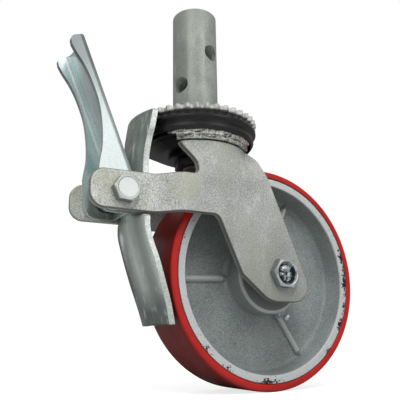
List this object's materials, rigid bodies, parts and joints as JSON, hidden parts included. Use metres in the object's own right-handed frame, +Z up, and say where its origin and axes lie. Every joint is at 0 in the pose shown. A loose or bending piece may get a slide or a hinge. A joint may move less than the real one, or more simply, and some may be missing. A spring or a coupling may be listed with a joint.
{
  "type": "scaffold castor",
  "caption": "Swivel castor for scaffold tube: solid cross-drilled stem, toothed lock ring, welded fork with brake arms, foot pedal, curved brake shoe and cast wheel with a solid tyre.",
  "frame": {"origin": "on the swivel axis, on the top face of the toothed ring, where a scaffold tube stands", "axes": "+Z up along the stem, +X towards the axle, so the trail is along +X, and Y along the axle"},
  "size_m": [0.2324, 0.093, 0.289],
  "materials": {
    "stem_steel": "dull grey-green zinc plate on a solid turned bar",
    "ring_steel": "bright zinc plate, teeth pressed",
    "weld": "silvered weld bead",
    "bearing_steel": "ground steel",
    "bronze": "plain bronze",
    "seal": "black moulded seal",
    "bright_zinc": "bright zinc plate",
    "crown": "black painted casting",
    "galvanised": "fine-grained pale grey galvanised plate",
    "brake_steel": "grey-green zinc plate, scratched",
    "tyre": "solid red tyre, satin",
    "wheel_paint": "grey paint over a rough casting"
  },
  "bodies": {
    "stem_head": {"stem": "stem_steel", "stem_weld": "weld", "lock_ring": "ring_steel", "upper_race": "bearing_steel", "ball_01": "bearing_steel", "ball_02": "bearing_steel", "ball_03": "bearing_steel", "ball_04": "bearing_steel", "ball_05": "bearing_steel", "ball_06": "bearing_steel", "ball_07": "bearing_steel", "ball_08": "bearing_steel", "ball_09": "bearing_steel", "ball_10": "bearing_steel", "ball_11": "bearing_steel", "ball_12": "bearing_steel", "ball_cage": "bronze", "dust_seal": "seal", "lower_race": "crown", "king_nut": "crown"},
    "fork": {"crown": "crown", "near_leg": "galvanised", "far_leg": "galvanised", "near_weld": "weld", "far_weld": "weld", "axle_bolt": "bright_zinc", "axle_nut": "bright_zinc", "axle_sleeve": "bearing_steel", "thrust_washer_near": "bright_zinc", "thrust_washer_far": "bright_zinc", "brake_bolt": "bright_zinc", "brake_nut": "bright_zinc", "brake_sleeve": "bearing_steel"},
    "wheel": {"tyre": "tyre", "wheel_core": "wheel_paint", "hub_bush": "bronze", "grease_nipple": "bright_zinc"},
    "pedal": {"pedal": "bright_zinc"},
    "shoe": {"brake_shoe": "brake_steel", "shoe_bracket": "brake_steel", "cam_pad_near": "brake_steel", "cam_pad_far": "brake_steel"}
  },
  "joints": [
    {"name": "swivel", "type": "hinge", "parent": "stem_head", "child": "fork", "pos_m": [0, 0, 0], "axis": [0, 0, 1], "continuous": true},
    {"name": "wheel_spin", "type": "hinge", "parent": "fork", "child": "wheel", "pos_m": [0.0477, 0, -0.1155], "axis": [0, 1, 0], "continuous": true},
    {"name": "pedal_press", "type": "hinge", "parent": "fork", "child": "pedal", "pos_m": [-0.0661, 0, -0.0648], "axis": [0, -1, 0], "range_deg": [0, 60]},
    {"name": "shoe_rock", "type": "hinge", "parent": "fork", "child": "shoe", "pos_m": [-0.049, 0, -0.0055], "axis": [0, -1, 0], "range_deg": [0, 0.7]}
  ],
  "couplings": [
    {"joint": "shoe_rock", "follows": "pedal_press", "ratio": 0.01}
  ]
}
